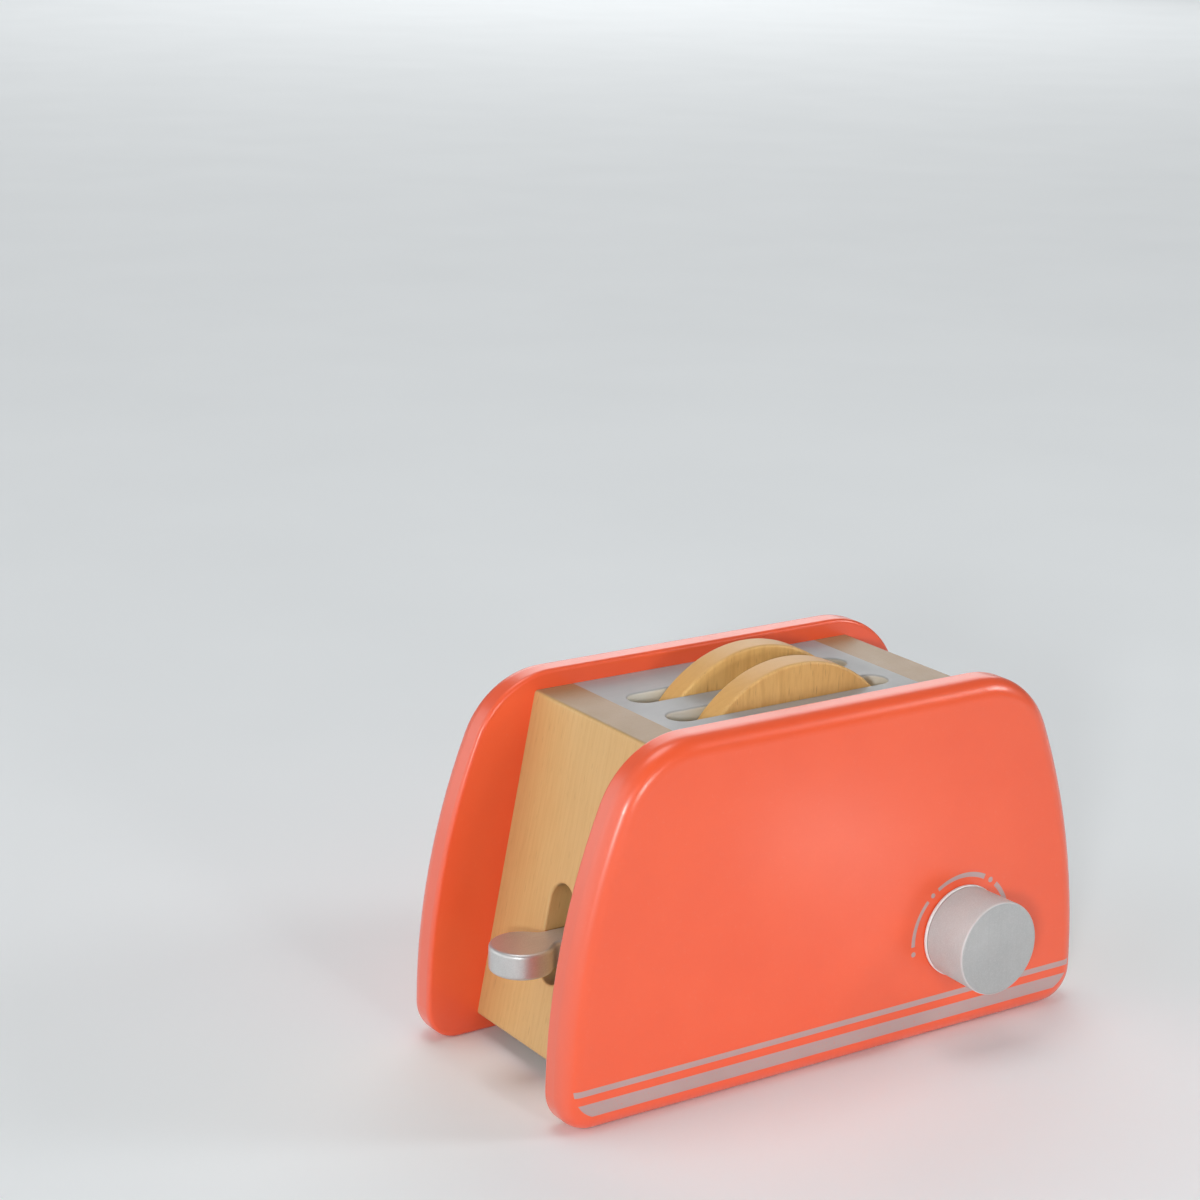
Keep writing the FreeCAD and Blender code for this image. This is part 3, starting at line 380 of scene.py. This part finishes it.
def wood(name, along, across, heart, light, dark, pore, end, pitch=2.6, contrast=1.0,
         rough=(0.42, 0.55), coat=0.0, offset=0.0, streaks=(0.38, 1500.0, 40.0), zones=None):
    """Solid wood: rings about a heart line beside the board, fibres, pores, and a greyer end grain.

    along and across are unit vectors. heart is the heart line's place across and deep in the board,
    and pitch is the rings', both in mm. streaks gives the fibres' strength and their number per metre
    across and along the grain. offset moves the pattern, so that no two boards are alike, and zones
    may change the colour by place.
    """
    graph = Graph(name)
    deep = Vector(along).cross(Vector(across))
    side, depth, grain = (graph.vector("DOT_PRODUCT", graph.position, tuple(direction))
                          for direction in (across, deep, along))
    board = graph.vector("ADD", graph.join(side, depth, grain), (offset, offset * 0.7, offset * 1.3))

    sway = graph.noise(board, scale=(12.0, 12.0, 5.0))
    waver = graph.noise(board, scale=(45.0, 45.0, 9.0))
    reach = graph.length(graph.math("SUBTRACT", side, heart[0] * MM),
                         graph.math("SUBTRACT", depth, heart[1] * MM))
    reach = graph.math("ADD", reach, graph.math("MULTIPLY", sway, RING_SWAY))
    reach = graph.math("ADD", reach, graph.math("MULTIPLY", waver, RING_WAVER))
    ring = graph.math("FRACT", graph.math("DIVIDE", reach, pitch * MM))
    late_wood = graph.ramp(ring, (0.0, 0.05), (0.55, 0.25), (0.86, 1.0), (1.0, 0.05))

    strength, thin, long = streaks
    broad = graph.noise(board, scale=(30.0, 30.0, 3.0), detail=3.0, roughness=0.6)
    fibre = graph.noise(board, scale=(thin, thin, long), detail=3.0, roughness=0.65)
    fleck = graph.noise(board, scale=(2300.0, 2300.0, 170.0), detail=1.0)
    pores = graph.remap(fleck, 0.66, 0.74, 0.0, 0.55)

    colour = graph.mix(graph.math("MULTIPLY", late_wood, 0.42 * contrast), light, dark)
    colour = graph.mix(graph.remap(broad, 0.35, 0.7, 0.0, 0.45 * contrast), colour, dark)
    colour = graph.mix(graph.remap(fibre, 0.42, 0.72, 0.0, strength), colour, dark)
    colour = graph.mix(pores, colour, pore)
    colour = graph.mix(graph.remap(graph.facing(along), 0.55, 0.95, 0.0, 0.70), colour, end)
    if zones:
        colour = zones(graph, colour)
    sheen = graph.level(graph.noise(graph.position, scale=70.0, detail=3.0, roughness=0.6), *rough)
    sheen = graph.math("ADD", sheen, graph.math("MULTIPLY", pores, 0.15))
    bump = graph.bump(fibre, distance=0.05 * MM, strength=0.45)
    bump = graph.bump(pores, distance=-0.06 * MM, strength=0.6, before=bump)
    return graph.finish(colour, sheen, bump, Specular_IOR_Level=0.45, Coat_Weight=coat,
                        Coat_Roughness=0.25)


def slice_rind(node_name):
    """Browner band round a slice's edge, like a crust, between its two faces."""
    low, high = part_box(node_name)

    def stain(graph, colour):
        off_middle = graph.apart(graph.split(graph.position)[1], (low.y + high.y) / 2)
        rind = graph.remap(off_middle, *RIND_EDGE, 1.0, 0.0)
        return graph.mix(graph.math("MULTIPLY", rind, 0.55), colour, RIND)
    return stain


def steel():
    """Drawn steel of the lever's pin, with fine lines along it."""
    graph = Graph("steel")
    drawn = graph.noise(graph.position, scale=(3000.0, 40.0, 3000.0))
    colour = graph.ramp(drawn, (0.3, (0.45, 0.45, 0.46)), (0.7, (0.62, 0.62, 0.63)))
    bump = graph.bump(drawn, distance=0.01 * MM, strength=0.5)
    return graph.finish(colour, graph.level(drawn, 0.22, 0.36), bump, Metallic=1.0)


# ------------------------------------------------------------------ finishes of the nodes
UP_LEVER_END = Vector((math.sin(END_TILT), 0, math.cos(END_TILT)))
UP_PLAIN_END = Vector((-math.sin(END_TILT), 0, math.cos(END_TILT)))

finishes = {
    "front_panel": red_paint("red_paint_front", FRONT_FACE_Y, -1, (stripes_mask, dial_mask)),
    "rear_panel": red_paint("red_paint_rear", REAR_FACE_Y, 1, (stripes_mask,)),
    "lever_end_board": wood("pale_wood_lever_end", UP_LEVER_END, Y_AXIS, (-20, 75), **PALE),
    "plain_end_board": wood("pale_wood_plain_end", UP_PLAIN_END, Y_AXIS, (30, 70), offset=0.31, **PALE),
    "base_board": wood("pale_wood_base", X_AXIS, Y_AXIS, (12, 60), offset=0.57, **PALE),
    "top_plate": grey_paint(),
    "lever": silver_paint("silver_paint_lever", LEVER_SILVER, (60.0, 1500.0, 1500.0), metallic=0.75,
                          rough=(0.46, 0.36)),
    "knob": silver_paint("silver_paint_knob", KNOB_SILVER, (1500.0, 1500.0, 60.0), metallic=0.10,
                         rough=(0.52, 0.40), zones=knob_painted_light),
    "front_toast": wood("toast_wood_front", Z_AXIS, X_AXIS, (15, 48), pitch=3.0,
                        zones=slice_rind("front_toast"), **TOAST),
    "rear_toast": wood("toast_wood_rear", Z_AXIS, X_AXIS, (-18, 55), pitch=3.2, offset=0.43,
                       zones=slice_rind("rear_toast"), **TOAST),
    "toast_shelf": wood("inner_wood_shelf", X_AXIS, Y_AXIS, (10, 45), **INNER),
    "lever_pivot_pin": steel(),
}

# Hidden dowels and such: label of the wood, its directions along and across the grain, and its nodes.
DOWELS = (
    ("x", X_AXIS, Y_AXIS, ("top_plate_dowels",)),
    ("y", Y_AXIS, X_AXIS, ("end_board_dowels", "base_board_dowels", "rest_dowel", "lift_bar",
                           "knob_axle", "knob_retainer")),
    ("z", Z_AXIS, X_AXIS, ("front_guide_rod", "rear_guide_rod")),
)
for label, along, across, node_names in DOWELS:
    dowel_wood = wood(f"inner_wood_{label}", along, across, (3, 9), pitch=1.6, offset=0.2, **INNER)
    finishes.update(dict.fromkeys(node_names, dowel_wood))

for node_name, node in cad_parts.items():
    node.data.materials.clear()
    node.data.materials.append(finishes[node_name])


# ------------------------------------------------------------------ floor, lights, camera
FLOOR_HALF = 12.0             # m
FLOOR_TONES = ((0.88, 0.92, 0.94), (0.90, 0.94, 0.96))

WORLD_STRENGTH = 0.12
TOY_MIDDLE = (0, 0, 0.06)     # m
# Round studio lights: name, then place, target and diameter in m, power in W, and spread in degrees.
LIGHTS = (
    ("key", (-3.2, -3.1, 1.2), TOY_MIDDLE, 0.5, 68.0, 180),
    ("overhead", (-0.6, 1.2, 12.0), TOY_MIDDLE, 6.0, 344.0, 180),
    ("left", (-1.8, 0.1, 0.6), TOY_MIDDLE, 2.0, 11.0, 180),
    ("left_back", (-3.6, 3.9, 1.35), TOY_MIDDLE, 4.2, 54.0, 180),
    ("right", (1.5, -0.9, 1.0), TOY_MIDDLE, 0.5, 8.0, 180),
    ("back", (3.0, 4.5, 2.7), TOY_MIDDLE, 4.8, 95.0, 180),
    ("front", (-0.09, -0.75, 0.25), (-0.045, -0.056, 0.055), 0.15, 0.137, 60),
    ("card", (0.105, -0.190, 0.004), (0.052, -0.066, 0.034), 0.05, 0.0022, 44),     # for the knob
)

# The camera that took the photograph, fitted to the toaster's edges in it.
CAMERA_PLACE = (-520.295, -674.416, 383.731)        # mm
CAMERA_TURN = (74.2964, -1.0273, -33.5097)          # degrees about X, Y and Z
CAMERA_LENS = 83.576                                # mm, on the sensor below
CAMERA_SENSOR = 36.0
CAMERA_REACH = 50.0                                 # m


def show(name, data):
    """A new object in the scene."""
    item = bpy.data.objects.new(name, data)
    bpy.context.scene.collection.objects.link(item)
    return item


def floor():
    """Large pale floor under the toaster."""
    corners = [(x * FLOOR_HALF, y * FLOOR_HALF, 0) for x, y in ((-1, -1), (1, -1), (1, 1), (-1, 1))]
    mesh = bpy.data.meshes.new("floor")
    mesh.from_pydata(corners, [], [(0, 1, 2, 3)])
    graph = Graph("floor")
    tone = graph.level(graph.noise(graph.position, scale=6.0))
    mesh.materials.append(graph.finish(graph.mix(tone, *FLOOR_TONES), 0.75, Specular_IOR_Level=0.25))
    item = show("floor", mesh)


def area_light(name, place, target, size, power, spread):
    light = bpy.data.lights.new(name, "AREA")
    light.shape = "DISK"
    light.size = size
    light.energy = power
    light.spread = math.radians(spread)
    item = show(name, light)
    item.location = place
    item.rotation_euler = (Vector(target) - Vector(place)).to_track_quat("-Z", "Y").to_euler()


def studio():
    """Soft lights, and a faint even light from all round."""
    world = bpy.data.worlds.new("studio")
    bpy.context.scene.world = world
    world.use_nodes = True
    background = world.node_tree.nodes["Background"]
    background.inputs["Color"].default_value = (1.0, 1.0, 1.0, 1)
    background.inputs["Strength"].default_value = WORLD_STRENGTH
    for light in LIGHTS:
        area_light(*light)


def camera():
    data = bpy.data.cameras.new("camera")
    data.sensor_fit = "HORIZONTAL"
    data.sensor_width = CAMERA_SENSOR
    data.lens = CAMERA_LENS
    data.clip_end = CAMERA_REACH
    item = show("camera", data)
    item.location = Vector(CAMERA_PLACE) * MM
    item.rotation_euler = [math.radians(angle) for angle in CAMERA_TURN]
    bpy.context.scene.camera = item


floor()
studio()
camera()
bpy.context.scene.view_settings.view_transform = "Standard"
